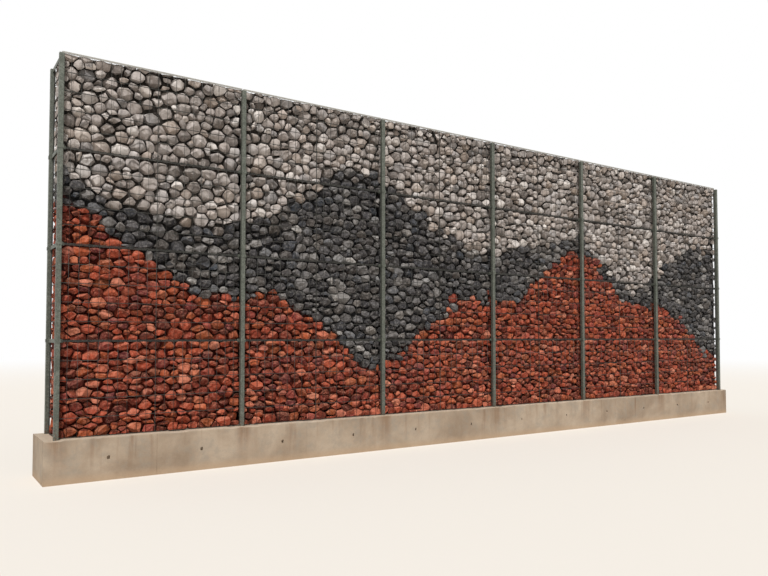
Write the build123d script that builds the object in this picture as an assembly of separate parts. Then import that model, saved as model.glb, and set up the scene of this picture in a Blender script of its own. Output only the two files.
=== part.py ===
"""Six bays of a free-standing gabion wall.

Wire baskets filled with stone stand four high on a cast concrete plinth.
A welded steel frame stands in the plinth at each bay joint, with one post in
front of the baskets and one behind them, tied through the joint.
X runs along the wall, the front faces -Y, and Z is up from ground level.
All sizes are in millimetres.
"""

import os
from math import ceil, cos, pi

from build123d import *

# Bays and courses of baskets
bay_count = 6
bay_pitch = 2000.0
course_count = 4
course_height = 1000.0
basket_thickness = 500.0  # outer face of the front mesh to outer face of the back mesh
seam_gap = 4.0  # between the mesh panels of two stacked baskets

# Welded mesh panels
border_wire = 8.0
inner_wire = 6.0
mesh_depth = 8.0
rail_pitch = 200.0  # level wires
panel_columns = 2  # cells along a front or back panel, with an upright wire between them
lid_pitch = 500.0  # wires across a lid

# Concrete plinth
plinth_height = 450.0
plinth_ledge = 100.0  # stands out past the mesh, in front and behind
plinth_overrun = 125.0  # runs on past the centre of each end frame
plinth_chamfer = 15.0

# Post frames
post_width = 50.0
post_depth = 50.0
post_wall = 4.0
post_corner = 5.0  # flat across each corner of the tube
post_cap = 4.0
post_drop = 25.0  # post top below the top of the stone
post_embedded = 300.0  # cast into the plinth
tie_thickness = 8.0
tie_height = 40.0
tie_clearance = 6.0  # each side, to the baskets

# Straps that hold the panel edges to the posts
strap_thickness = 4.0
strap_height = 36.0
strap_lug = 24.0  # lies on the mesh beside the post

# The two wavy lines where the stone changes colour, as heights above the plinth. Each is
# a long swell and a shorter ripple about a mean level, with a crest of both at the origin.
red_level = 1570.0
red_swell = 640.0
red_swell_length = 8000.0
red_ripple = 260.0
red_ripple_length = 2650.0
red_origin = 1950.0  # from the middle of the wall
dark_level = 2470.0
dark_swell = 420.0
dark_swell_length = 10200.0
dark_ripple = 300.0
dark_ripple_length = 3700.0
dark_origin = -2300.0
dark_least = 250.0  # the dark band keeps this thickness where the red rises into it
wave_run = 250.0  # the lines are laid in straight runs, each a few stones long

# Worked out from the sizes above
wall_length = bay_count * bay_pitch
joint_gap = tie_thickness + 2 * tie_clearance  # between the baskets of neighbouring bays
stone_height = course_count * course_height
stone_top = plinth_height + stone_height
basket_length = bay_pitch - joint_gap
panel_height = course_height - seam_gap
fill_length = basket_length - 2 * mesh_depth
fill_thickness = basket_thickness - 2 * mesh_depth
post_offset = basket_thickness / 2 + post_depth / 2  # wall centre to post centre
post_bottom = plinth_height - post_embedded
post_top = stone_top - post_drop
plinth_length = wall_length + 2 * plinth_overrun
plinth_depth = basket_thickness + 2 * plinth_ledge


def bay_centre(bay):
    """X of the middle of a bay, counted from 0 at the left end."""
    return (bay + 0.5) * bay_pitch - wall_length / 2


def frame_place(frame):
    """X of a post frame, counted from 0 at the left end."""
    return frame * bay_pitch - wall_length / 2


def seam_levels():
    """Z of each seam between two courses."""
    return [plinth_height + course * course_height for course in range(1, course_count)]


def front_and_back(piece):
    """A piece made for the front face, with its mirrored copy for the back."""
    return piece, mirror(piece, about=Plane.XZ)


def post_outline():
    outline = Rectangle(post_width, post_depth)
    return chamfer(outline.vertices(), post_corner)


def post():
    """Square hollow post with a welded cap, standing at the origin."""
    length = post_top - post_bottom
    bore = Rectangle(post_width - 2 * post_wall, post_depth - 2 * post_wall)
    return extrude(post_outline(), length) - extrude(bore, length - post_cap)


def tie():
    """Flat bar on edge, from the inner face of the front post to that of the back post."""
    return Box(tie_thickness, basket_thickness, tie_height)


def post_frame():
    """Front and back posts of one bay joint, with a tie at each seam and one at the top."""
    posts = [Pos(0, side * post_offset, post_bottom) * post() for side in (-1, 1)]
    tie_levels = seam_levels() + [post_top - tie_height / 2]
    ties = [Pos(0, 0, level) * tie() for level in tie_levels]
    return posts[0].fuse(posts[1], *ties)


def plinth():
    """Cast strip with chamfered top edges and a socket round the foot of each post."""
    profile = Rectangle(plinth_depth, plinth_height, align=(Align.CENTER, Align.MIN))
    profile = chamfer(profile.vertices().group_by(Axis.Y)[-1], plinth_chamfer)
    strip = extrude(Plane.YZ * profile, plinth_length / 2, both=True)
    socket = extrude(post_outline(), post_embedded)
    sockets = [
        Pos(frame_place(frame), side * post_offset, post_bottom) * socket
        for frame in range(bay_count + 1)
        for side in (-1, 1)
    ]
    return strip - sockets


def strap(lug_sides):
    """Bent strap round the front of a post, with a lug on the mesh at each given side."""
    outer_width = post_width + 2 * strap_thickness
    against_mesh = (Align.CENTER, Align.MAX)
    bend = Rectangle(outer_width, post_depth + strap_thickness, align=against_mesh)
    lug = Rectangle(strap_lug, strap_thickness, align=against_mesh)
    for side in lug_sides:
        bend += Pos(side * (outer_width + strap_lug) / 2, 0) * lug
    bend -= Rectangle(post_width, post_depth, align=against_mesh)
    return Pos(0, -basket_thickness / 2, 0) * extrude(bend, strap_height / 2, both=True)


def front_straps():
    """A strap at each seam on every front post."""
    straps = []
    for frame in range(bay_count + 1):
        lug_sides = [side for side, bay in ((-1, frame - 1), (1, frame)) if 0 <= bay < bay_count]
        bent = strap(lug_sides)
        straps += [Pos(frame_place(frame), 0, level) * bent for level in seam_levels()]
    return Compound(straps)


def mesh_panel(width, height, columns, rows):
    """Flat welded panel in the XY plane: a border and a grid of inner wires."""
    cell_width = (width - 2 * border_wire - (columns - 1) * inner_wire) / columns
    cell_height = (height - 2 * border_wire - (rows - 1) * inner_wire) / rows
    grid = GridLocations(cell_width + inner_wire, cell_height + inner_wire, columns, rows)
    cells = [place * Rectangle(cell_width, cell_height) for place in grid]
    return extrude(Rectangle(width, height) - cells, mesh_depth)


def panel_levels():
    """Z of the middle of each course."""
    return [plinth_height + (course + 0.5) * course_height for course in range(course_count)]


def front_mesh():
    """The front panels of one bay of baskets, one above another, with the bay centred on X."""
    rows = round(panel_height / rail_pitch)
    panel = Plane.XZ * mesh_panel(basket_length, panel_height, panel_columns, rows)
    depth = basket_thickness / 2 - mesh_depth
    return Compound([Pos(0, -depth, level) * panel for level in panel_levels()])


def end_mesh():
    """The end panels of a stack of baskets, between the front and back mesh, facing +X."""
    rows = round(panel_height / rail_pitch)
    panel = Plane.YZ * mesh_panel(fill_thickness, panel_height, 1, rows)
    return Compound([Pos(fill_length / 2, 0, level) * panel for level in panel_levels()])


def lid_mesh():
    """The lid of one bay's top basket."""
    columns = round(basket_length / lid_pitch)
    return Pos(0, 0, stone_top) * mesh_panel(basket_length, basket_thickness, columns, 1)


def wave_places():
    """X of the ends of the straight runs, from end to end of the wall and a little past it."""
    runs = ceil(wall_length / 2 / wave_run) + 1
    return [run * wave_run for run in range(-runs, runs + 1)]


def wave(level, swell, swell_length, ripple, ripple_length, origin):
    """Z of one wavy line at each place."""
    heights = []
    for place in wave_places():
        along = 2 * pi * (place - origin)
        rise = swell * cos(along / swell_length) + ripple * cos(along / ripple_length)
        heights.append(plinth_height + level + rise)
    return heights


def under_wave(heights):
    """Everything below a wavy line, as a solid longer and thicker than the wall."""
    places = wave_places()
    line = list(zip(places, heights))
    outline = Polyline(*line, (places[-1], 0), (places[0], 0), close=True)
    return extrude(Plane.XZ * make_face(outline), basket_thickness, both=True)


def stone_fill(bay, below_red, below_dark):
    """The red, dark and pale stone of one bay, each one mass."""
    block = Pos(bay_centre(bay), 0, plinth_height + stone_height / 2) * Box(
        fill_length, fill_thickness, stone_height
    )
    return {
        "red": block & below_red,
        "dark": (block & below_dark) - below_red,
        "pale": block - below_dark,
    }


def write(name, shape):
    solids = shape.solids()
    whole = solids[0] if len(solids) == 1 else Compound(solids)
    whole.label = name
    export_step(whole, f"parts/{name}.step")


def main():
    os.makedirs("parts", exist_ok=True)
    write("plinth", plinth())

    frame_shape = post_frame()
    for frame in range(bay_count + 1):
        write(f"post_frame_{frame + 1}", Pos(frame_place(frame), 0, 0) * frame_shape)
    front, back = front_and_back(front_straps())
    write("front_straps", front)
    write("back_straps", back)

    red_line = wave(red_level, red_swell, red_swell_length, red_ripple, red_ripple_length, red_origin)
    dark_wave = wave(
        dark_level, dark_swell, dark_swell_length, dark_ripple, dark_ripple_length, dark_origin
    )
    dark_line = [max(dark, red + dark_least) for red, dark in zip(red_line, dark_wave)]
    below_red = under_wave(red_line)
    below_dark = under_wave(dark_line)
    front, back = front_and_back(front_mesh())
    lid = lid_mesh()
    for bay in range(bay_count):
        place = Pos(bay_centre(bay), 0, 0)
        write(f"front_mesh_bay_{bay + 1}", place * front)
        write(f"back_mesh_bay_{bay + 1}", place * back)
        for colour, mass in stone_fill(bay, below_red, below_dark).items():
            write(f"{colour}_fill_bay_{bay + 1}", mass)
    write("lid_mesh", Compound([Pos(bay_centre(bay), 0, 0) * lid for bay in range(bay_count)]))

    right_end = Pos(bay_centre(bay_count - 1), 0, 0) * end_mesh()
    write("right_end_mesh", right_end)
    write("left_end_mesh", mirror(right_end, about=Plane.YZ))


main()
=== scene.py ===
import math
import random

import bmesh
import bpy
import numpy as np
from mathutils import Matrix, Vector, noise
from mathutils.kdtree import KDTree


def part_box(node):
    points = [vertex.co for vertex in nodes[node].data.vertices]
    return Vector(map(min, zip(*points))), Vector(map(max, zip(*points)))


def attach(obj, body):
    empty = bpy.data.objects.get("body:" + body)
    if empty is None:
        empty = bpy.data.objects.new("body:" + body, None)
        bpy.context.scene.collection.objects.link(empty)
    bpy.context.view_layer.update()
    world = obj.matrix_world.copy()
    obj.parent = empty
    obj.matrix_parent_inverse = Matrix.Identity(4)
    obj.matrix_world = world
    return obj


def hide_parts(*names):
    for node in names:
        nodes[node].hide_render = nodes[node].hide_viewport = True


# Gabion wall, six bays: the stones one by one, the finer wires, bolts, lacing and weathering.
# Metres; X along the wall, the front faces -Y, Z up from the ground.
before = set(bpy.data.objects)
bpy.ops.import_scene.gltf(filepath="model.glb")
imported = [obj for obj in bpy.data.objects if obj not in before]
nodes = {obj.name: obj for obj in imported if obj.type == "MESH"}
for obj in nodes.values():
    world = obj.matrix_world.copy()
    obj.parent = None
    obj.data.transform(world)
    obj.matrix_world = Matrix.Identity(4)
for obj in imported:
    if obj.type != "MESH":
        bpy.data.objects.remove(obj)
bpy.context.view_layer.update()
print("stage: frame loaded,", len(nodes), "nodes")

wall = {
    "bays": 6,
    "bayPitch": 2.0,
    "courses": 4,
    "courseHeight": 1.0,
    "foot": 0.45,  # top of the plinth
    "meshInside": 0.242,  # inner face of the front mesh, from the wall's centre
    "meshOutside": 0.250,
    "fillHalfLength": 0.982,  # from the middle of a bay to the end of its stones
}
hair = 1e-4  # two places closer than this are the same
hairline = 1e-5
stoneTop = wall["foot"] + wall["courses"] * wall["courseHeight"]
seams = [wall["foot"] + course * wall["courseHeight"] for course in range(1, wall["courses"])]


def bayCentre(bay):
    return (bay + 0.5 - wall["bays"] / 2) * wall["bayPitch"]


def framePlace(number):
    return (number - wall["bays"] / 2) * wall["bayPitch"]


def addPiece(name, bm, material, smooth=False, standsFor=()):
    mesh = bpy.data.meshes.new(name)
    bm.to_mesh(mesh)
    bm.free()
    mesh.polygons.foreach_set("use_smooth", [smooth] * len(mesh.polygons))
    mesh.materials.append(material)
    piece = bpy.data.objects.new(name, mesh)
    bpy.context.scene.collection.objects.link(piece)
    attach(piece, "root")
    if standsFor:
        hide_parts(*standsFor)
    return piece


def paint(red, green, blue):
    # 0 to 255 as on a screen, to the linear colour a shader wants
    def linear(value):
        value /= 255
        return value / 12.92 if value <= 0.04045 else ((value + 0.055) / 1.055) ** 2.4
    return (linear(red), linear(green), linear(blue), 1.0)


grainShift = (37.0, 61.0, 83.0)  # how far the grain moves while tone goes from 0 to 1


class Surface:
    # a Principled material with short calls for the nodes in front of it
    def __init__(self, name):
        self.material = bpy.data.materials.new(name)
        self.material.use_nodes = True
        self.tree = self.material.node_tree
        self.shader = self.tree.nodes["Principled BSDF"]
        self.place = self.add("ShaderNodeTexCoord").outputs["Object"]

    def add(self, kind, **settings):
        node = self.tree.nodes.new(kind)
        for key, value in settings.items():
            setattr(node, key, value)
        return node

    def feed(self, socket, value):
        if isinstance(value, bpy.types.NodeSocket):
            self.tree.links.new(value, socket)
        else:
            socket.default_value = value

    def attribute(self, name):
        return self.add("ShaderNodeAttribute", attribute_name=name).outputs["Fac"]

    def math(self, operation, first, second=0.0):
        node = self.add("ShaderNodeMath", operation=operation)
        self.feed(node.inputs[0], first)
        self.feed(node.inputs[1], second)
        return node.outputs[0]

    def moved(self, amount):
        # the object coordinates, shifted by a stone's own number so that no two share a grain
        shift = self.add("ShaderNodeVectorMath", operation="SCALE")
        shift.inputs[0].default_value = grainShift
        self.feed(shift.inputs["Scale"], amount)
        total = self.add("ShaderNodeVectorMath", operation="ADD")
        self.feed(total.inputs[0], self.place)
        self.feed(total.inputs[1], shift.outputs[0])
        return total.outputs[0]

    def stretched(self, scale):
        node = self.add("ShaderNodeMapping")
        self.feed(node.inputs["Vector"], self.place)
        node.inputs["Scale"].default_value = scale
        return node.outputs[0]

    def noise(self, vector, scale, detail, roughness, distortion=0.0):
        node = self.add("ShaderNodeTexNoise")
        self.feed(node.inputs["Vector"], vector)
        node.inputs["Scale"].default_value = scale
        node.inputs["Detail"].default_value = detail
        node.inputs["Roughness"].default_value = roughness
        node.inputs["Distortion"].default_value = distortion
        return node.outputs[0]

    def voronoi(self, vector, scale, output="Distance"):
        node = self.add("ShaderNodeTexVoronoi")
        self.feed(node.inputs["Vector"], vector)
        node.inputs["Scale"].default_value = scale
        return node.outputs[output]

    def span(self, value, low, high, first=0.0, last=1.0):
        # goes smoothly from first to last while the value goes from low to high
        node = self.add("ShaderNodeMapRange", interpolation_type="SMOOTHSTEP")
        self.feed(node.inputs["Value"], value)
        node.inputs["From Min"].default_value = low
        node.inputs["From Max"].default_value = high
        node.inputs["To Min"].default_value = first
        node.inputs["To Max"].default_value = last
        return node.outputs[0]

    def ramp(self, value, stops):
        node = self.add("ShaderNodeValToRGB")
        elements = node.color_ramp.elements
        while len(elements) < len(stops):
            elements.new(0.5)
        for element, (position, colour) in zip(elements, stops):
            element.position = position
            element.color = colour
        self.feed(node.inputs["Fac"], value)
        return node.outputs["Color"]

    def mix(self, factor, first, second, blend="MIX"):
        # a Mix node has its colours on inputs 6 and 7 and on output 2
        node = self.add("ShaderNodeMix", data_type="RGBA", blend_type=blend)
        self.feed(node.inputs[0], factor)
        self.feed(node.inputs[6], first)
        self.feed(node.inputs[7], second)
        return node.outputs[2]

    def axis(self, letter, vector=None):
        node = self.add("ShaderNodeSeparateXYZ")
        self.feed(node.inputs[0], vector or self.place)
        return node.outputs[letter]

    def upward(self):
        return self.axis("Z", self.add("ShaderNodeNewGeometry").outputs["Normal"])

    def bump(self, height, strength, distance, under=None):
        node = self.add("ShaderNodeBump")
        self.feed(node.inputs["Height"], height)
        node.inputs["Strength"].default_value = strength
        node.inputs["Distance"].default_value = distance
        if under:
            self.feed(node.inputs["Normal"], under)
        return node.outputs[0]

    def finish(self, colour, roughness, normal, metallic=0.0, specular=0.3):
        self.feed(self.shader.inputs["Base Color"], colour)
        self.feed(self.shader.inputs["Roughness"], roughness)
        self.feed(self.shader.inputs["Normal"], normal)
        self.feed(self.shader.inputs["Metallic"], metallic)
        self.shader.inputs["Specular IOR Level"].default_value = specular
        return self.material


stoneLooks = {
    "red": {
        "stops": [  # darkest to palest stone
            (0.00, paint(66, 21, 11)),
            (0.25, paint(109, 38, 20)),
            (0.55, paint(141, 55, 32)),
            (0.84, paint(163, 72, 46)),
            (1.00, paint(194, 120, 94)),
        ],
        "warm": paint(160, 84, 40),
        "cool": paint(106, 42, 50),
        "cast": 0.50,  # how far some stones go to the warm or the cool colour
        "stainAndPitShade": paint(62, 19, 10),
        "fleck": paint(200, 134, 110),
        "dust": paint(194, 136, 108),
        "dustAmount": 0.30,
        "chips": 21.0,  # broken facets, grain and pits in a metre
        "chipDepth": 0.020,
        "grain": 36.0,
        "pits": 95.0,
        "bump": 0.75,
    },
    "dark": {
        "stops": [
            (0.00, paint(28, 27, 29)),
            (0.30, paint(55, 53, 55)),
            (0.65, paint(84, 81, 81)),
            (0.90, paint(122, 118, 115)),
            (1.00, paint(160, 155, 150)),
        ],
        "warm": paint(98, 88, 78),
        "cool": paint(66, 74, 84),
        "cast": 0.40,
        "stainAndPitShade": paint(30, 28, 29),
        "fleck": paint(158, 152, 146),
        "dust": paint(146, 138, 129),
        "dustAmount": 0.26,
        "chips": 22.0,
        "chipDepth": 0.020,
        "grain": 32.0,
        "pits": 110.0,
        "bump": 0.75,
    },
    "pale": {
        "stops": [
            (0.00, paint(102, 94, 89)),
            (0.22, paint(140, 131, 125)),
            (0.52, paint(165, 155, 149)),
            (0.82, paint(184, 175, 169)),
            (1.00, paint(206, 198, 191)),
        ],
        "warm": paint(163, 140, 119),
        "cool": paint(140, 141, 144),
        "cast": 0.38,
        "stainAndPitShade": paint(96, 84, 74),
        "fleck": paint(198, 190, 183),
        "dust": paint(186, 174, 160),
        "dustAmount": 0.25,
        "chips": 13.0,
        "chipDepth": 0.012,
        "grain": 24.0,
        "pits": 130.0,
        "bump": 0.50,
    },
}


def stoneMaterial(kind):
    look = stoneLooks[kind]
    s = Surface(kind + "Stone")
    tone = s.attribute("tone")
    place = s.moved(tone)
    cloud = s.noise(place, scale=7.0, detail=4.0, roughness=0.65, distortion=0.4)
    grain = s.noise(place, scale=look["grain"], detail=6.0, roughness=0.74)
    chips = s.voronoi(place, look["chips"])
    pits = s.voronoi(place, look["pits"])
    colour = s.ramp(tone, look["stops"])
    hue = s.math("FRACT", s.math("MULTIPLY", tone, 13.7))
    colour = s.mix(s.span(hue, 0.62, 1.0, 0.0, look["cast"]), colour, look["warm"])
    colour = s.mix(s.span(hue, 0.30, 0.0, 0.0, look["cast"]), colour, look["cool"])
    colour = s.mix(s.span(cloud, 0.48, 0.72, 0.0, 0.60), colour, look["stainAndPitShade"])
    colour = s.mix(s.span(grain, 0.46, 0.72, 0.0, 0.50), colour, look["fleck"])
    colour = s.mix(s.span(grain, 0.46, 0.28, 0.0, 0.50), colour, look["stainAndPitShade"])
    # painted shade in the pits, which the bump also sinks; the same colour serves for stains
    colour = s.mix(s.span(pits, 0.0, 0.24, 0.50, 0.0), colour, look["stainAndPitShade"])
    patchy = s.span(cloud, 0.3, 0.6, 0.5, 1.0)
    dustiness = s.math("MULTIPLY", s.span(s.upward(), 0.15, 0.95), patchy)
    colour = s.mix(s.math("MULTIPLY", dustiness, look["dustAmount"]), colour, look["dust"])
    coarse = s.bump(cloud, strength=0.6, distance=0.02)
    broken = s.bump(chips, strength=0.8, distance=look["chipDepth"], under=coarse)
    fine = s.math("ADD", grain, s.span(pits, 0.0, 0.3, -0.3, 0.0))
    normal = s.bump(fine, strength=look["bump"], distance=0.008, under=broken)
    return s.finish(colour, s.span(grain, 0.3, 0.7, 0.96, 0.72), normal)


bedLook = {
    "behind": (paint(88, 24, 10), paint(38, 37, 38), paint(64, 58, 53)),  # painted shade of the stones further in: red, dark and pale
    "hollow": paint(110, 110, 110),
    "chippings": [
        (0.0, paint(98, 90, 84)),
        (0.5, paint(134, 125, 118)),
        (1.0, paint(166, 157, 149)),
    ],
    "chipScale": 27.0,
}


def bedMaterial():
    s = Surface("shadedStone")
    paleShade = bedLook["behind"][2]
    lumps = s.noise(s.place, scale=14.0, detail=4.0, roughness=0.7)
    grain = s.noise(s.place, scale=60.0, detail=4.0, roughness=0.7)
    # the mass is painted with the shade of the stones it stands for, zone by zone
    colour = s.ramp(s.attribute("zone"), list(zip((0.0, 0.5, 1.0), bedLook["behind"])))
    # painted shade: the mass is darker in lumps
    colour = s.mix(s.span(lumps, 0.35, 0.65, 0.0, 0.85), colour, bedLook["hollow"], "MULTIPLY")
    # under the lid the voids are filled with chippings
    apart = s.voronoi(s.place, bedLook["chipScale"])
    eachChip = s.axis("X", s.voronoi(s.place, bedLook["chipScale"], output="Color"))
    chippings = s.ramp(eachChip, bedLook["chippings"])
    # painted shade in patches and between the chippings
    chippings = s.mix(s.span(grain, 0.5, 0.3, 0.0, 0.4), chippings, paleShade)
    chippings = s.mix(s.span(apart, 0.48, 0.85), chippings, paleShade)
    colour = s.mix(s.span(s.upward(), 0.55, 0.9), colour, chippings)
    lumpy = s.bump(lumps, strength=0.8, distance=0.02)
    rounded = s.span(apart, 0.1, 0.7, 1.0, 0.0)
    normal = s.bump(rounded, strength=0.8, distance=0.012, under=lumpy)
    return s.finish(colour, 0.95, normal)


steelLook = {
    "postZinc": [(0.0, paint(81, 84, 76)), (0.5, paint(97, 100, 91)), (1.0, paint(116, 119, 110))],
    "wireZinc": [(0.0, paint(42, 41, 38)), (0.5, paint(57, 56, 52)), (1.0, paint(78, 77, 71))],
    "paintedTopHighlight": paint(182, 179, 171),  # painted highlight along the top edge, where the sun lights it
    "paintedHighlightFrom": 4.41,
    "rust": paint(104, 60, 34),
    "rustHeight": 0.30,  # rust climbs this far up the posts from the plinth
}


def steelMaterial(name, zinc, spangle, rustiness, metallic):
    s = Surface(name)
    flakes = s.voronoi(s.place, spangle, output="Color")
    cloud = s.noise(s.place, scale=3.5, detail=4.0, roughness=0.65)
    drawnOut = s.stretched((40.0, 40.0, 2.2))
    streaks = s.noise(drawnOut, scale=1.0, detail=4.0, roughness=0.7)
    speck = s.noise(s.place, scale=70.0, detail=3.0, roughness=0.7)
    colour = s.ramp(s.axis("X", flakes), steelLook[zinc])
    dull = steelLook[zinc][0][1]
    colour = s.mix(s.span(cloud, 0.42, 0.68, 0.0, 0.7), colour, dull)
    colour = s.mix(s.span(streaks, 0.55, 0.75, 0.0, 0.35), colour, dull)
    # painted highlight: posts and wires go lighter towards the top of the wall, as if sunlit
    top = s.span(s.axis("Z"), steelLook["paintedHighlightFrom"], stoneTop, 0.0, 0.85)
    colour = s.mix(top, colour, steelLook["paintedTopHighlight"])
    height = s.math("SUBTRACT", s.axis("Z"), wall["foot"])
    low = s.span(height, 0.0, steelLook["rustHeight"], 1.0, 0.0)
    speckled = s.span(s.math("ADD", speck, s.math("MULTIPLY", low, 0.16)), 0.66, 0.76)
    colour = s.mix(s.math("MULTIPLY", speckled, rustiness), colour, steelLook["rust"])
    rough = s.span(cloud, 0.3, 0.7, 0.48, 0.66)
    normal = s.bump(speck, strength=0.25, distance=0.001)
    return s.finish(colour, rough, normal, metallic, specular=0.4)


concreteLook = {
    "base": [
        (0.0, paint(138, 120, 101)),
        (0.5, paint(158, 140, 120)),
        (1.0, paint(174, 157, 137)),
    ],
    "grey": paint(142, 133, 120),
    "runoff": paint(118, 88, 63),
    "runoffHeight": (0.04, 0.44),  # the stains fade from the second height down to the first
    "besidePost": (0.02, 0.13),  # and under a post they fade from this far aside to this far
    "arris": paint(188, 173, 154),
    "dust": paint(174, 147, 118),  # splashed up from the ground
    "splash": 0.05,
    # painted shade of the pores, also used for the dark sand speckle
    "poreShadeAndSand": paint(92, 76, 60),
}


def concreteMaterial():
    look = concreteLook
    s = Surface("castConcrete")
    up = s.upward()
    height = s.axis("Z")
    cloud = s.noise(s.place, scale=1.6, detail=5.0, roughness=0.62, distortion=0.3)
    patch = s.noise(s.place, scale=7.0, detail=4.0, roughness=0.7)
    sand = s.noise(s.place, scale=160.0, detail=3.0, roughness=0.8)
    pores = s.voronoi(s.place, 34.0)
    colour = s.ramp(s.span(cloud, 0.28, 0.72), look["base"])
    colour = s.mix(s.span(patch, 0.45, 0.70, 0.0, 0.55), colour, look["grey"])
    # rain brings rust and dirt down from the top arris, most of it under the posts
    runs = s.noise(s.stretched((9.0, 9.0, 0.55)), scale=1.0, detail=4.0, roughness=0.65)
    wide = s.noise(s.stretched((1.3, 1.3, 0.1)), scale=1.0, detail=3.0, roughness=0.6)
    fromPost = s.math("PINGPONG", s.axis("X"), wall["bayPitch"] / 2)
    nearPost = s.span(fromPost, *look["besidePost"], 1.0, 0.0)
    below = s.math("MULTIPLY", nearPost, s.span(runs, 0.35, 0.6, 0.3, 1.0))
    fade = s.span(height, *look["runoffHeight"], 0.2, 1.0)
    streak = s.math("MULTIPLY", s.span(runs, 0.50, 0.70), s.span(wide, 0.36, 0.62, 0.15, 1.0))
    streak = s.math("MAXIMUM", streak, s.math("MULTIPLY", below, 0.8))
    onTop = s.span(up, 0.3, 0.8, 0.75, 0.35)
    streak = s.math("MULTIPLY", streak, s.math("MULTIPLY", fade, onTop))
    colour = s.mix(streak, colour, look["runoff"])
    colour = s.mix(s.span(up, 0.3, 0.9, 0.0, 0.35), colour, look["arris"])
    # painted shade in the pores, which the bump also sinks
    colour = s.mix(s.span(pores, 0.0, 0.10, 0.55, 0.0), colour, look["poreShadeAndSand"])
    splash = s.math("ADD", height, s.math("MULTIPLY", patch, -0.12))
    splashed = s.span(splash, -look["splash"], look["splash"], 0.6, 0.0)
    colour = s.mix(splashed, colour, look["dust"])
    colour = s.mix(s.span(sand, 0.45, 0.75, 0.0, 0.22), colour, look["poreShadeAndSand"])
    coarse = s.bump(patch, strength=0.35, distance=0.012)
    holes = s.span(pores, 0.0, 0.12, -1.0, 0.0)
    normal = s.bump(s.math("ADD", sand, holes), strength=0.4, distance=0.003, under=coarse)
    return s.finish(colour, s.span(patch, 0.3, 0.7, 0.95, 0.82), normal)


materials = {kind: stoneMaterial(kind) for kind in stoneLooks}
materials["bed"] = bedMaterial()
materials["posts"] = steelMaterial("galvanisedSteel", "postZinc", spangle=90.0, rustiness=0.75,
                                   metallic=0.55)
materials["wires"] = steelMaterial("galvanisedWire", "wireZinc", spangle=160.0, rustiness=0.5,
                                   metallic=0.35)
materials["concrete"] = concreteMaterial()


def repaint(start, material):
    for name, node in nodes.items():
        if name.startswith(start):
            node.data.materials.clear()
            node.data.materials.append(material)


for start in ("post_frame", "front_straps", "back_straps"):
    repaint(start, materials["posts"])
for start in ("front_mesh", "back_mesh", "lid_mesh", "left_end_mesh", "right_end_mesh"):
    repaint(start, materials["wires"])
print("stage: materials made")


plinthShape = {
    "chamfer": 0.015,
    "rings": 306,  # cross-cuts along its length, for the chipped arris
    "chip": 0.020,
    "chipFrom": 0.22,  # a lower value chips more of the arris
    "chipScale": (7, 9, 30),
    "arris": 0.02,  # chips keep this close to the front and back
    "uneven": 0.0015,  # how far the formwork bowed
    "bowScale": (1.3, 5, 3),
    "joints": (-5.0, -1.0, 3.0),  # where the form panels met
    "jointWidth": 0.008,
    "jointDepth": 0.004,
    "tiePitch": 1.0,  # the form ties left a row of recesses
    "tieSize": 0.040,
    "tieCorner": 0.58,  # how far its corners are cut off, as a share of half its size
    "tieDepth": 0.025,
    "tieHeight": 0.235,
}


def runsAlong(edge, axis, least=1):
    # is this edge longer than that along X, Y or Z, which are 0, 1 and 2
    return abs(edge.verts[0].co[axis] - edge.verts[1].co[axis]) > least


def cutPlane(bm, place, normal):
    bmesh.ops.bisect_plane(bm, geom=bm.verts[:] + bm.edges[:] + bm.faces[:], dist=hairline,
                           plane_co=place, plane_no=normal)


def faceNoise(place, side, scale):
    # noise that differs between the front and the back
    return noise.noise(Vector((place.x * scale[0], side * scale[1], place.z * scale[2])))


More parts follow.
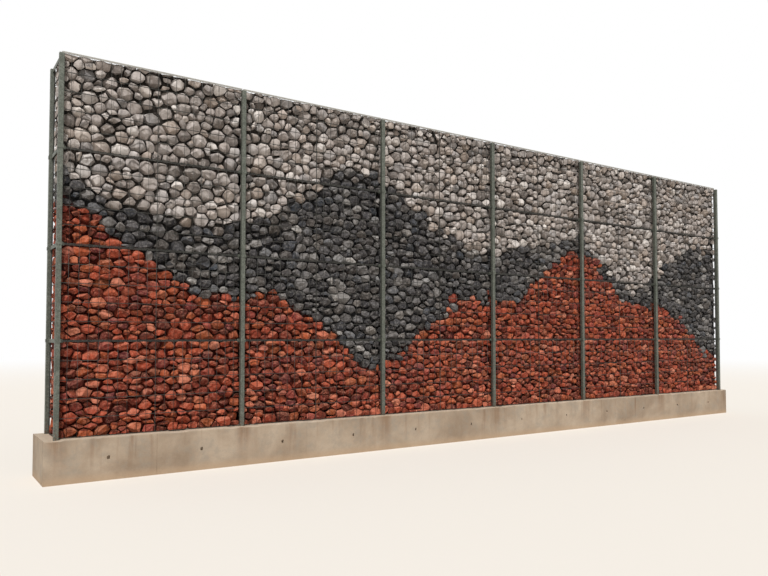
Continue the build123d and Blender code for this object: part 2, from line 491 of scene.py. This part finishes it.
def castPlinth():
    low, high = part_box("plinth")
    shape = plinthShape
    bm = bmesh.new()
    size = Matrix.Diagonal((*(high - low), 1))
    bmesh.ops.create_cube(bm, size=1, matrix=Matrix.Translation((low + high) / 2) @ size)
    topEdges = [edge for edge in bm.edges
                if runsAlong(edge, 0) and all(vert.co.z > high.z - hair for vert in edge.verts)]
    bmesh.ops.bevel(bm, geom=topEdges, offset=shape["chamfer"], affect="EDGES", segments=2,
                    profile=0.5, material=-1)
    long = [edge for edge in bm.edges if runsAlong(edge, 0)]
    bmesh.ops.subdivide_edges(bm, edges=long, cuts=shape["rings"], use_grid_fill=True)
    half = shape["tieSize"] / 2
    for rise in (-half, half):
        cutPlane(bm, (0, 0, shape["tieHeight"] + rise), (0, 0, 1))
    reach = round((high.x - low.x) / 2 / shape["tiePitch"])
    ties = [(number + 0.5) * shape["tiePitch"] for number in range(-reach, reach)]
    for x in ties:
        cutPlane(bm, (x - half, 0, 0), (1, 0, 0))
        cutPlane(bm, (x + half, 0, 0), (1, 0, 0))
    for x in shape["joints"]:
        for aside in (-1, 0, 1):
            cutPlane(bm, (x + aside * shape["jointWidth"] / 2, 0, 0), (1, 0, 0))
    # round the square patches off and push them in
    for turn in ("round", "push"):
        patches = []
        for face in bm.faces:
            middle = face.calc_center_median()
            aside = min(abs(middle.x - x) for x in ties)
            above = abs(middle.z - shape["tieHeight"])
            if abs(face.normal.y) > 0.9 and aside < half / 2 and above < half / 2:
                patches.append(face)
        if turn == "round":
            corners = {vert for face in patches for vert in face.verts
                       if min(abs(abs(vert.co.x - x) - half) for x in ties) < hair}
            bmesh.ops.bevel(bm, geom=list(corners), offset=half * shape["tieCorner"],
                            affect="VERTICES", segments=1, profile=0.5, material=-1)
        else:
            for face in bmesh.ops.extrude_face_region(bm, geom=patches)["geom"]:
                if isinstance(face, bmesh.types.BMVert):
                    face.co.y -= math.copysign(shape["tieDepth"], face.co.y)
            bmesh.ops.delete(bm, geom=patches, context="FACES_ONLY")
    for vert in bm.verts:
        side = math.copysign(1, vert.co.y)
        if abs(vert.co.y) > high.y - 0.001:
            bow = faceNoise(vert.co, side, shape["bowScale"])
            vert.co.y -= side * shape["uneven"] * (1 + bow)
            if min(abs(vert.co.x - x) for x in shape["joints"]) < hair:
                vert.co.y -= side * shape["jointDepth"]
        onArris = vert.co.z > high.z - shape["chamfer"] - hair
        if onArris and abs(vert.co.y) > high.y - shape["arris"]:
            chip = max(0, faceNoise(vert.co, side, shape["chipScale"]) - shape["chipFrom"])
            vert.co.y -= side * chip * shape["chip"]
            vert.co.z -= chip * shape["chip"]
    bmesh.ops.recalc_face_normals(bm, faces=bm.faces)
    addPiece("castPlinth", bm, materials["concrete"], standsFor=["plinth"])


castPlinth()
print("stage: plinth cast")


# the flats on the side that shows: how far each may tilt, and how near the middle it may lie
brokenFlats = ((0.40, 0.66, 0.86), (0.9, 0.72, 0.95), (0.9, 0.72, 0.95), (1.6, 0.76, 1.0))
cobbleFlats = ((0.5, 0.76, 0.96), (1.0, 0.76, 0.98), (1.0, 0.76, 0.98))
stoneKinds = {
    "red": {
        "radii": (0.069, 0.058, 0.049, 0.041, 0.034, 0.026),
        "flatness": 1.22,  # stones lie on their broad side
        "broken": 1.0,  # share of stones with sharp corners
        "swell": 1.38,  # drawn larger than its room, then cut back to it
        "gap": 0.007,
        "sharp": 24.0,  # degrees at which an edge stays sharp
        "flats": brokenFlats,
    },
    "dark": {
        "radii": (0.076, 0.066, 0.056, 0.047, 0.039, 0.031),
        "flatness": 1.15,
        "broken": 1.0,
        "swell": 1.38,
        "gap": 0.008,
        "sharp": 24.0,
        "flats": brokenFlats,
    },
    "pale": {
        "radii": (0.084, 0.071, 0.059, 0.049, 0.040, 0.030),
        "flatness": 1.07,
        "broken": 0.72,
        "swell": 1.20,
        "gap": 0.010,
        "sharp": 32.0,
        "flats": cobbleFlats,
    },
}
packing = {
    "seed": 410,
    "tries": (60, 120, 260, 440, 600, 700),  # for each size on a whole front panel
    "panelArea": 1.9,
    "leastShare": 0.35,
    "fitting": 3.0,  # more tries on the top and the ends, where other stones are in the way
    "sizeSpread": (0.92, 1.08),
    "fromBorder": 0.72,  # a stone's middle keeps this share of its radius from the border
    "closeness": 0.90,  # two stones may start this near, as a share of their radii
    "settles": 5,
    "sample": 0.016,  # pitch of the grid that measures the room round each stone
    "leastSamples": 4,  # a stone with less room than this is left out
    "weaker": 3,  # outside its own circle another face's stone counts this much further off
    "layer": 0.07,  # the stones of one face lie about this deep
    "leastRoom": 0.0004,  # square of the least radius that counts at that depth
    "spill": 0.035,  # stones at the ends of a bay are broken off level with them
    "topSpill": 0.050,  # and those under the lid
    "raggedness": 0.05,  # how far the line between two colours strays
    "depthSpread": (0.85, 1.1),
    "depthWobble": 0.032,  # stones lie up to this much further in
    "press": 0.030,  # stones at the ends, at the foot and under the lid press against the mesh
    "edgeRow": 0.10,  # how near the foot or the lid those stones are
    "tight": 0.25,  # most stones sit tight and a few have wide gaps round them
    "loose": 2.3,
    "looseRarity": 2.2,
    "bedding": 1.3,  # level gaps are this much wider than upright ones
    "farthest": 0.24,  # neighbours are looked for this far beyond a stone
    "touching": 1.5,  # and count up to this many times both radii away
    "lean": 0.18,  # how far the broken flats look up on average
    "turned": 0.12,  # radians that a stone is out of line
    "unlevel": 0.006,  # how far a stone pressed against the lid is from flat
    "unlevelScale": 16,
    "batch": 20,  # stones to one bmesh
}


rayFrom = 9  # above the wall
insideFill = 0.01  # rays keep this far from the end of a bay's stone


def kindAt(bay, x, z):
    # colour of the stone at a place on the face, from the masses in the frame
    reach = wall["fillHalfLength"] - insideFill
    x = min(max(x, bayCentre(bay) - reach), bayCentre(bay) + reach)
    for kind in ("red", "dark"):
        mass = nodes[f"{kind}_fill_bay_{bay + 1}"]
        hit, point, _, _ = mass.ray_cast((x, 0, rayFrom), (0, 0, -1))
        if hit and z < point.z:
            return kind
    return "pale"


basketRoom = {"aboveFloor": 0.004, "lessInAll": 0.010}  # stones keep clear of the seam wires


def basketSides(bay):
    # each face of the baskets that shows stones: where it starts, its two directions and outward
    centre = bayCentre(bay)
    half = wall["fillHalfLength"]
    inside = wall["meshInside"]
    spill = packing["spill"]
    sides = []
    for course in range(wall["courses"]):
        low = wall["foot"] + course * wall["courseHeight"] + basketRoom["aboveFloor"]
        high = low + wall["courseHeight"] - basketRoom["lessInAll"]
        box = ((centre - half, -inside, low), (centre + half, inside, high))
        tall = high - low + (packing["topSpill"] if course == wall["courses"] - 1 else 0)
        for outward in (-1, 1):
            start = Vector((centre - half - spill, outward * inside, low))
            sides.append((start, Vector((1, 0, 0)), 2 * (half + spill), Vector((0, 0, 1)), tall,
                          Vector((0, outward, 0)), box))
        for end, outward in ((0, -1), (wall["bays"] - 1, 1)):
            if bay == end:
                start = Vector((centre + outward * half, -inside, low))
                sides.append((start, Vector((0, 1, 0)), 2 * inside, Vector((0, 0, 1)), tall,
                              Vector((outward, 0, 0)), box))
    start = Vector((centre - half, -inside, high))
    sides.append((start, Vector((1, 0, 0)), 2 * half, Vector((0, 1, 0)), 2 * inside,
                  Vector((0, 0, 1)), box))
    return sides


def stretch(direction, flatness):
    # lengths are measured longer upwards than across, so that stones come out broad
    return flatness if direction.z > 0.5 else 1 / flatness


def standingIn(side, stones):
    # the stones of other faces that already take up room behind this one
    start, across, _, along, _, outward, box = side
    rows = []
    for stone in stones:
        offset = stone["centre"] - start
        room = stone["radius"] ** 2 - (offset.dot(outward) + packing["layer"]) ** 2
        if stone["box"] is box and room > packing["leastRoom"]:
            flatness = stoneKinds[stone["kind"]]["flatness"]
            rows.append((offset.dot(across), offset.dot(along), math.sqrt(room),
                         stretch(across, flatness), stretch(along, flatness), 0))
    return rows


def scatter(rng, side, bay, placed):
    # large stones first, then smaller and smaller ones where they still fit
    start, across, width, along, height, outward, _ = side
    share = max(packing["leastShare"], width * height / packing["panelArea"])
    share *= 1 if outward.y else packing["fitting"]
    for step, tries in enumerate(packing["tries"]):
        for _ in range(int(tries * share)):
            u = rng.uniform(0, width)
            v = rng.uniform(0, height)
            spot = start + across * u + along * v
            look = stoneKinds[kindAt(bay, spot.x, spot.z)]
            wide, tall = stretch(across, look["flatness"]), stretch(along, look["flatness"])
            radius = look["radii"][step] * rng.uniform(*packing["sizeSpread"])
            edge = packing["fromBorder"] * radius
            u = min(max(u, edge), width - edge)
            v = min(max(v, edge), height - edge)
            clear = all(
                (wide * (u - otherU)) ** 2 + (tall * (v - otherV)) ** 2
                > (packing["closeness"] * (radius + otherRadius)) ** 2
                for otherU, otherV, otherRadius, _, _, _ in placed
            )
            if clear:
                placed.append((u, v, radius, wide, tall, 1))  # the 1 marks a stone of this face
    return np.array(placed)


def settle(placed, side):
    # each stone moves to the middle of the room it has, then takes that room's size and slant
    width, height = side[2], side[4]
    step = packing["sample"]
    u, v = np.meshgrid(np.arange(step / 2, width, step), np.arange(step / 2, height, step))
    u, v = u.ravel(), v.ravel()
    moves = 0
    while True:
        awayU = (u[:, None] - placed[:, 0]) * placed[:, 3]
        awayV = (v[:, None] - placed[:, 1]) * placed[:, 4]
        power = awayU ** 2 + awayV ** 2 - placed[:, 2] ** 2
        # a stone of another face has a weaker claim outside its own circle
        outside = (placed[:, 5] == 0) & (power > 0)
        owner = np.where(outside, packing["weaker"] * power, power).argmin(axis=1)
        room = np.bincount(owner, minlength=len(placed))
        if room.min() < packing["leastSamples"]:
            placed = placed[room >= packing["leastSamples"]]
            continue
        middleU, middleV = np.bincount(owner, u) / room, np.bincount(owner, v) / room
        if moves == packing["settles"]:
            break
        free = placed[:, 5] > 0
        placed[free, 0], placed[free, 1] = middleU[free], middleV[free]
        moves += 1
    spreadU = np.bincount(owner, (u - middleU[owner]) ** 2) / room
    spreadV = np.bincount(owner, (v - middleV[owner]) ** 2) / room
    both = np.bincount(owner, (u - middleU[owner]) * (v - middleV[owner])) / room
    slant = 0.5 * np.arctan2(2 * both, spreadU - spreadV)
    half = (spreadU + spreadV) / 2
    skew = np.hypot((spreadU - spreadV) / 2, both)
    long = 2 * np.sqrt(half + skew)
    short = 2 * np.sqrt(np.maximum(half - skew, 1e-5))
    rows = np.column_stack((middleU, middleV, placed[:, 2], long, short, slant))
    return rows[placed[:, 5] > 0]


def fillSides(rng, bay):
    stones = []
    for side in basketSides(bay):
        start, across, _, along, _, outward, box = side
        placed = scatter(rng, side, bay, standingIn(side, stones))
        for u, v, radius, long, short, slant in settle(placed, side):
            slack = rng.random() ** packing["looseRarity"]
            loose = packing["tight"] + (packing["loose"] - packing["tight"]) * slack
            centre = start + across * u + along * v
            kind = kindAt(bay, centre.x, centre.z + rng.gauss(0, packing["raggedness"]))
            depth = (long + short) / 2 * rng.uniform(*packing["depthSpread"])
            back = rng.uniform(0.0, packing["depthWobble"])
            fromEdge = min(stoneTop - centre.z, centre.z - wall["foot"])
            if outward.x or (outward.y and fromEdge < packing["edgeRow"]):
                back = back / 3 - packing["press"]
            centre -= outward * (depth + back)
            longWay = across * math.cos(slant) + along * math.sin(slant)
            stones.append({"centre": centre, "radius": radius, "long": long, "short": short,
                           "depth": depth, "longWay": longWay, "kind": kind, "outward": outward,
                           "box": box, "loose": loose})
    return stones


def squashed(place, flatness):
    return Vector((place.x / flatness, place.y / flatness, place.z * flatness))


def cutsAround(stone, stones, tree):
    # the flat limits between a stone and its neighbours, each nearer to the smaller one
    cuts = []
    radius, look = stone["radius"], stoneKinds[stone["kind"]]
    for place, index, _ in tree.find_range(stone["centre"], radius + packing["farthest"]):
        other = stones[index]
        otherLook = stoneKinds[other["kind"]]
        flatness = (look["flatness"] + otherLook["flatness"]) / 2
        between = squashed(place - stone["centre"], flatness)
        distance = between.length
        tooFar = packing["touching"] * (radius + other["radius"])
        if distance < 0.001 or distance > tooFar:
            continue
        direction = squashed(between / distance, flatness)
        reach = (distance ** 2 + radius ** 2 - other["radius"] ** 2) / (2 * distance)
        length = direction.length
        level = 1 + packing["bedding"] * abs(direction.z / length)
        gap = (look["gap"] + otherLook["gap"]) / 4 * level  # half of the gap between the two
        cuts.append((direction / length, reach / length - gap * stone["loose"]))
    return cuts


def flatsOf(rng, stone):
    # broad flats broken on the side that shows, tilted up, down and sideways
    flats = []
    for tilt, low, high in stoneKinds[stone["kind"]]["flats"]:
        direction = stone["outward"] + Vector([rng.gauss(0, tilt) for _ in range(3)])
        direction.z += packing["lean"]
        flats.append((direction.normalized(), stone["depth"] * rng.uniform(low, high)))
    return flats


def shapeStone(stone, cuts, verts):
    low, high = stone["box"]
    centre = stone["centre"]
    for vert in verts:
        offset = vert.co - centre
        for direction, reach in cuts:
            beyond = offset.dot(direction) - reach
            if beyond > 0:
                offset -= direction * beyond
        vert.co = [min(max(c + o, a), b) for c, o, a, b in zip(centre, offset, low, high)]
        if vert.co.z > high[2] - hairline:
            relief = 1 + noise.noise(vert.co * packing["unlevelScale"])
            vert.co.z -= packing["unlevel"] * relief


def stoneAxes(rng, stone):
    # a turned, stretched ball as deep, long and slanting as the stone
    swell = stoneKinds[stone["kind"]]["swell"]
    long, out = stone["longWay"], stone["outward"]
    turn = Matrix((long, out, long.cross(out))).transposed().to_4x4()
    sizes = Vector((stone["long"] * swell, stone["depth"], stone["short"] * swell))
    lean = Matrix.Rotation(rng.gauss(0, packing["turned"]), 4, "X")
    lean @= Matrix.Rotation(rng.gauss(0, packing["turned"]), 4, "Z")
    return Matrix.Translation(stone["centre"]) @ turn @ lean @ Matrix.Diagonal((*sizes, 1))


cobbleShape = {
    "lumps": 0.24,
    "lumpScale": 0.9,
    "apart": 50,  # how far apart in the noise two cobbles may take their lumps
}


def addCobble(rng, bm, stone, cuts):
    ball = bmesh.ops.create_icosphere(bm, subdivisions=2, radius=1, matrix=stoneAxes(rng, stone))
    apart = cobbleShape["apart"]
    seed = Vector([rng.uniform(-apart, apart) for _ in range(3)])
    for vert in ball["verts"]:
        offset = vert.co - stone["centre"]
        lump = noise.noise(offset / stone["long"] * cobbleShape["lumpScale"] + seed)
        vert.co = stone["centre"] + offset * (1 + cobbleShape["lumps"] * lump)
    shapeStone(stone, flatsOf(rng, stone) + cuts, ball["verts"])


brokenShape = {
    "corners": 28,
    "turn": 2.39996,  # the golden angle spreads the corners evenly over a ball
    "stray": 0.25,
    "reach": (0.92, 1.08),
}


def addBroken(rng, bm, stone, cuts):
    matrix = stoneAxes(rng, stone)
    verts = []
    count = brokenShape["corners"]
    turn = rng.uniform(0, 6)
    for corner in range(count):
        rise = 1 - (2 * corner + 1) / count
        around = turn + brokenShape["turn"] * corner + rng.gauss(0, brokenShape["stray"])
        flat = math.sqrt(1 - rise * rise)
        ray = Vector((flat * math.cos(around), flat * math.sin(around), rise))
        verts.append(bm.verts.new(matrix @ (ray * rng.uniform(*brokenShape["reach"]))))
    shapeStone(stone, flatsOf(rng, stone) + cuts, verts)
    bmesh.ops.convex_hull(bm, input=verts, use_existing_faces=False)
    loose = [vert for vert in verts if not vert.link_faces]
    bmesh.ops.delete(bm, geom=loose, context="VERTS")


def layStones(bay):
    rng = random.Random(packing["seed"] + bay)
    stones = fillSides(rng, bay)
    tree = KDTree(len(stones))
    for index, stone in enumerate(stones):
        tree.insert(stone["centre"], index)
    tree.balance()
    for kind, look in stoneKinds.items():
        whole = bmesh.new()
        tones = []  # one number for each stone, which its material takes its colour from
        chosen = [stone for stone in stones if stone["kind"] == kind]
        for first in range(0, len(chosen), packing["batch"]):
            # a few stones at a time, because each operator goes through all of its bmesh
            few = bmesh.new()
            for stone in chosen[first:first + packing["batch"]]:
                before = len(few.verts)
                add = addBroken if rng.random() < look["broken"] else addCobble
                add(rng, few, stone, cutsAround(stone, stones, tree))
                tones += [rng.random()] * (len(few.verts) - before)
            bmesh.ops.recalc_face_normals(few, faces=few.faces)
            for edge in few.edges:
                edge.smooth = edge.calc_face_angle(0) < math.radians(look["sharp"])
            part = bpy.data.meshes.new("part")
            few.to_mesh(part)
            few.free()
            whole.from_mesh(part)
            bpy.data.meshes.remove(part)
        piece = addPiece(f"{kind}Stones_bay_{bay + 1}", whole, materials[kind],
                         smooth=True, standsFor=[f"{kind}_fill_bay_{bay + 1}"])
        piece.data.attributes.new("tone", "FLOAT", "POINT").data.foreach_set("value", tones)
    return len(stones)


bedSize = {
    "behind": 0.095,  # how far its faces lie behind the mesh
    "below": 0.048,  # and its top below the lid
    "fromEnd": 0.03,
    "aboveFoot": 0.002,
    "stillRow": 0.01,  # so much at the foot isn't roughened
    "rimBehind": 0.028,  # its edges reach nearer to the mesh under the lid and at the wall's ends
    "rimBelow": 0.012,
    "clear": 0.007,  # kept free under the lid and behind the mesh
    "rough": 0.030,
    "topRough": 0.014,
    "roughScale": 11,
    "cuts": 18,
    "topCuts": 5,
}


def layBed(bay):
    # the stones further in, as one rough mass painted with the shade they lie in
    centre = bayCentre(bay)
    half = wall["fillHalfLength"] - bedSize["fromEnd"]
    deep = wall["meshInside"] - bedSize["behind"]
    top = stoneTop - bedSize["below"]
    low = wall["foot"] + bedSize["aboveFoot"]
    bm = bmesh.new()
    size = Matrix.Diagonal((2 * half, 2 * deep, top - low, 1))
    place = Matrix.Translation((centre, 0, (top + low) / 2))
    bmesh.ops.create_cube(bm, size=1, matrix=place @ size)
    for axis, least, cuts in ((2, 1, 2 * bedSize["cuts"]), (0, 1, bedSize["cuts"]),
                              (1, deep, bedSize["topCuts"])):
        long = [edge for edge in bm.edges if runsAlong(edge, axis, least)]
        bmesh.ops.subdivide_edges(bm, edges=long, cuts=cuts, use_grid_fill=True)
    rimX = wall["fillHalfLength"] - bedSize["rimBelow"]
    rimY = wall["meshInside"] - bedSize["rimBehind"]
    edgeX = wall["fillHalfLength"] - bedSize["clear"]
    edgeY = wall["meshInside"] - bedSize["clear"]
    edgeZ = stoneTop - bedSize["clear"]
    wallEnd = {0: -1, wall["bays"] - 1: 1}.get(bay, 0)
    for vert in bm.verts:
        atTop = vert.co.z > top - hair
        atEnd = (vert.co.x - centre) * wallEnd > half - hair
        rough = bedSize["rough"] if vert.co.z > low + bedSize["stillRow"] else 0
        if atTop or atEnd:
            rough = bedSize["topRough"]
            if abs(vert.co.y) > deep - hair:
                vert.co.y = math.copysign(rimY, vert.co.y)
                if atTop:
                    vert.co.z = stoneTop - bedSize["rimBelow"]
                if atEnd:
                    vert.co.x = centre + wallEnd * rimX
        vert.co += noise.noise_vector(vert.co * bedSize["roughScale"]) * rough
        vert.co.x = min(max(vert.co.x, centre - edgeX), centre + edgeX)
        vert.co.y = min(max(vert.co.y, -edgeY), edgeY)
        vert.co.z = min(vert.co.z, edgeZ)
    piece = addPiece(f"stoneBed_bay_{bay + 1}", bm, materials["bed"], smooth=True)
    kinds = list(stoneKinds)
    zones = [kinds.index(kindAt(bay, vert.co.x, vert.co.z)) / 2 for vert in piece.data.vertices]
    piece.data.attributes.new("zone", "FLOAT", "POINT").data.foreach_set("value", zones)


noise.seed_set(packing["seed"])  # left alone, vector noise starts from the clock
for bay in range(wall["bays"]):
    layBed(bay)
    count = layStones(bay)
    print("stage: bay", bay + 1, "filled with", count, "stones")


wireSizes = {
    "thickness": 0.0045,
    "pitch": 0.1,
    "sides": 6,
    "weld": 0.0008,  # sunk into the rails
    "endClear": 0.003,
}


def addRod(bm, start, end, thickness, sides):
    start, end = Vector(start), Vector(end)
    turn = (end - start).to_track_quat("Z", "Y").to_matrix().to_4x4()
    place = Matrix.Translation((start + end) / 2) @ turn
    bmesh.ops.create_cone(bm, cap_ends=True, segments=sides, radius1=thickness / 2,
                          radius2=thickness / 2, depth=(end - start).length, matrix=place)


def layUprights(bay, name, outward):
    # the close upright wires, welded to the outside of the rails
    bm = bmesh.new()
    y = outward * (wall["meshOutside"] + wireSizes["thickness"] / 2 - wireSizes["weld"])
    count = round(wall["fillHalfLength"] / wireSizes["pitch"]) - 1
    for course in range(wall["courses"]):
        low = wall["foot"] + course * wall["courseHeight"] + wireSizes["endClear"]
        high = low + wall["courseHeight"] - 2 * wireSizes["endClear"]
        for number in range(-count, count + 1):
            if number:
                x = bayCentre(bay) + number * wireSizes["pitch"]
                addRod(bm, (x, y, low), (x, y, high), wireSizes["thickness"], wireSizes["sides"])
    addPiece(f"{name}_bay_{bay + 1}", bm, materials["wires"], smooth=True)


lacing = {
    "thickness": 0.0034,
    "radius": 0.0135,
    "pitch": 0.075,
    "steps": 8,
    "sides": 5,
    "length": 1.86,
    "belowLid": 0.008,
}


def windSpiral():
    # one lacing wire wound along X, from the origin
    turns = round(lacing["length"] / lacing["pitch"])
    steps = turns * lacing["steps"]
    bm = bmesh.new()
    face = Matrix.Translation((0, 0, lacing["radius"])) @ Matrix.Rotation(math.pi / 2, 4, "X")
    bmesh.ops.create_circle(bm, segments=lacing["sides"], radius=lacing["thickness"] / 2,
                            matrix=face)
    bmesh.ops.spin(bm, geom=bm.verts[:] + bm.edges[:], cent=(0, 0, 0), axis=(1, 0, 0),
                   dvec=(lacing["length"] / steps, 0, 0), angle=2 * math.pi * turns, steps=steps)
    bmesh.ops.holes_fill(bm, edges=[edge for edge in bm.edges if edge.is_boundary], sides=0)
    bmesh.ops.recalc_face_normals(bm, faces=bm.faces)
    mesh = bpy.data.meshes.new("spiral")
    bm.to_mesh(mesh)
    bm.free()
    return mesh


spiral = windSpiral()


def layLacing(bay, name, outward):
    bm = bmesh.new()
    y = outward * (wall["meshInside"] + wall["meshOutside"]) / 2
    x = bayCentre(bay) - lacing["length"] / 2
    for level in seams + [stoneTop - lacing["belowLid"]]:
        before = len(bm.verts)
        bm.from_mesh(spiral)
        bm.verts.ensure_lookup_table()
        bmesh.ops.translate(bm, verts=bm.verts[before:], vec=(x, y, level))
    addPiece(f"{name}_bay_{bay + 1}", bm, materials["wires"], smooth=True)


for bay in range(wall["bays"]):
    layUprights(bay, "frontUprights", -1)
    layUprights(bay, "backUprights", 1)
    layLacing(bay, "frontLacing", -1)
    layLacing(bay, "backLacing", 1)
print("stage: wires and lacing")

boltSizes = {
    "washer": (0.0095, 0.002, 12),  # radius, thickness and sides
    "head": (0.0075, 0.0055, 6),
    "taper": 0.94,
    "fromPost": 0.041,
    "lugFace": 0.254,
}


def addBolt(bm, x, level, outward):
    face = Matrix.Rotation(outward * -math.pi / 2, 4, "X")
    under = boltSizes["lugFace"]
    for part in ("washer", "head"):
        radius, thick, sides = boltSizes[part]
        place = Matrix.Translation((x, outward * (under + thick / 2), level)) @ face
        bmesh.ops.create_cone(bm, cap_ends=True, segments=sides, radius1=radius,
                              radius2=radius * boltSizes["taper"], depth=thick, matrix=place)
        under += thick


def layBolts(name, outward):
    bm = bmesh.new()
    for number in range(wall["bays"] + 1):
        for side in (-1, 1):
            beside = number - 1 if side < 0 else number  # the bay on this side of the post
            if 0 <= beside < wall["bays"]:
                for level in seams:
                    addBolt(bm, framePlace(number) + side * boltSizes["fromPost"], level, outward)
    addPiece(name, bm, materials["posts"])


layBolts("frontBolts", -1)
layBolts("backBolts", 1)
print("stage: bolts")


studio = {
    "floorColour": (0.68, 0.64, 0.585, 1.0),
    "floorReach": 90.0,
    "floorSides": 96,
    "floorFade": (11.0, 45.0),  # from here to there it goes white for the camera
    "keyStrength": 3.95,
    "keyAngle": 6.0,
    "keyHeight": 55.0,
    "keySide": 33.0,
    "fill": 0.34,
}


def layFloor():
    bm = bmesh.new()
    bmesh.ops.create_circle(bm, cap_ends=True, segments=studio["floorSides"],
                            radius=studio["floorReach"])
    mesh = bpy.data.meshes.new("floor")
    bm.to_mesh(mesh)
    bm.free()
    s = Surface("paleFloor")
    distance = s.add("ShaderNodeVectorMath", operation="LENGTH")
    s.feed(distance.inputs[0], s.place)
    s.shader.inputs["Base Color"].default_value = studio["floorColour"]
    s.shader.inputs["Roughness"].default_value = 0.9
    s.shader.inputs["Specular IOR Level"].default_value = 0.1
    white = s.add("ShaderNodeEmission")
    blend = s.add("ShaderNodeMixShader")
    seen = s.add("ShaderNodeLightPath").outputs["Is Camera Ray"]
    far = s.span(distance.outputs["Value"], *studio["floorFade"])
    s.feed(blend.inputs[0], s.math("MULTIPLY", seen, far))
    s.feed(blend.inputs[1], s.shader.outputs[0])
    s.feed(blend.inputs[2], white.outputs[0])
    s.feed(s.tree.nodes["Material Output"].inputs["Surface"], blend.outputs[0])
    mesh.materials.append(s.material)
    floor = bpy.data.objects.new("floor", mesh)
    bpy.context.scene.collection.objects.link(floor)


def lightStudio():
    world = bpy.data.worlds.new("studio")
    world.use_nodes = True
    tree = world.node_tree
    background = tree.nodes["Background"]
    background.inputs["Color"].default_value = (1.0, 1.0, 1.0, 1.0)
    path = tree.nodes.new("ShaderNodeLightPath")
    shown = tree.nodes.new("ShaderNodeMath")
    shown.operation = "MAXIMUM"
    tree.links.new(path.outputs["Is Camera Ray"], shown.inputs[0])
    tree.links.new(path.outputs["Is Glossy Ray"], shown.inputs[1])
    strength = tree.nodes.new("ShaderNodeMapRange")
    strength.inputs["To Min"].default_value = studio["fill"]
    strength.inputs["To Max"].default_value = 1.0
    tree.links.new(shown.outputs[0], strength.inputs["Value"])
    tree.links.new(strength.outputs[0], background.inputs["Strength"])
    bpy.context.scene.world = world
    lamp = bpy.data.lights.new("key", "SUN")
    lamp.energy = studio["keyStrength"]
    lamp.angle = math.radians(studio["keyAngle"])
    key = bpy.data.objects.new("key", lamp)
    height, side = math.radians(studio["keyHeight"]), math.radians(studio["keySide"])
    level = math.cos(height)
    towards = Vector((-math.sin(side) * level, -math.cos(side) * level, math.sin(height)))
    key.rotation_euler = towards.to_track_quat("Z", "Y").to_euler()
    bpy.context.scene.collection.objects.link(key)


lens = {
    "length": 32.8,
    "sensor": 36.0,
    "place": (-7.243, -8.046, 1.49),
    "turn": 34.1,
    "pitch": 2.0,
    "shiftY": 0.032,
    "farthest": 400.0,
}


def placeCamera():
    data = bpy.data.cameras.new("camera")
    data.sensor_width = lens["sensor"]
    data.lens = lens["length"]
    data.shift_y = lens["shiftY"]
    data.clip_end = lens["farthest"]
    camera = bpy.data.objects.new("camera", data)
    camera.location = lens["place"]
    camera.rotation_euler = (math.radians(90 + lens["pitch"]), 0, math.radians(-lens["turn"]))
    bpy.context.scene.collection.objects.link(camera)
    bpy.context.scene.camera = camera


layFloor()
lightStudio()
placeCamera()
bpy.context.scene.view_settings.view_transform = "Standard"
print("stage: studio set")
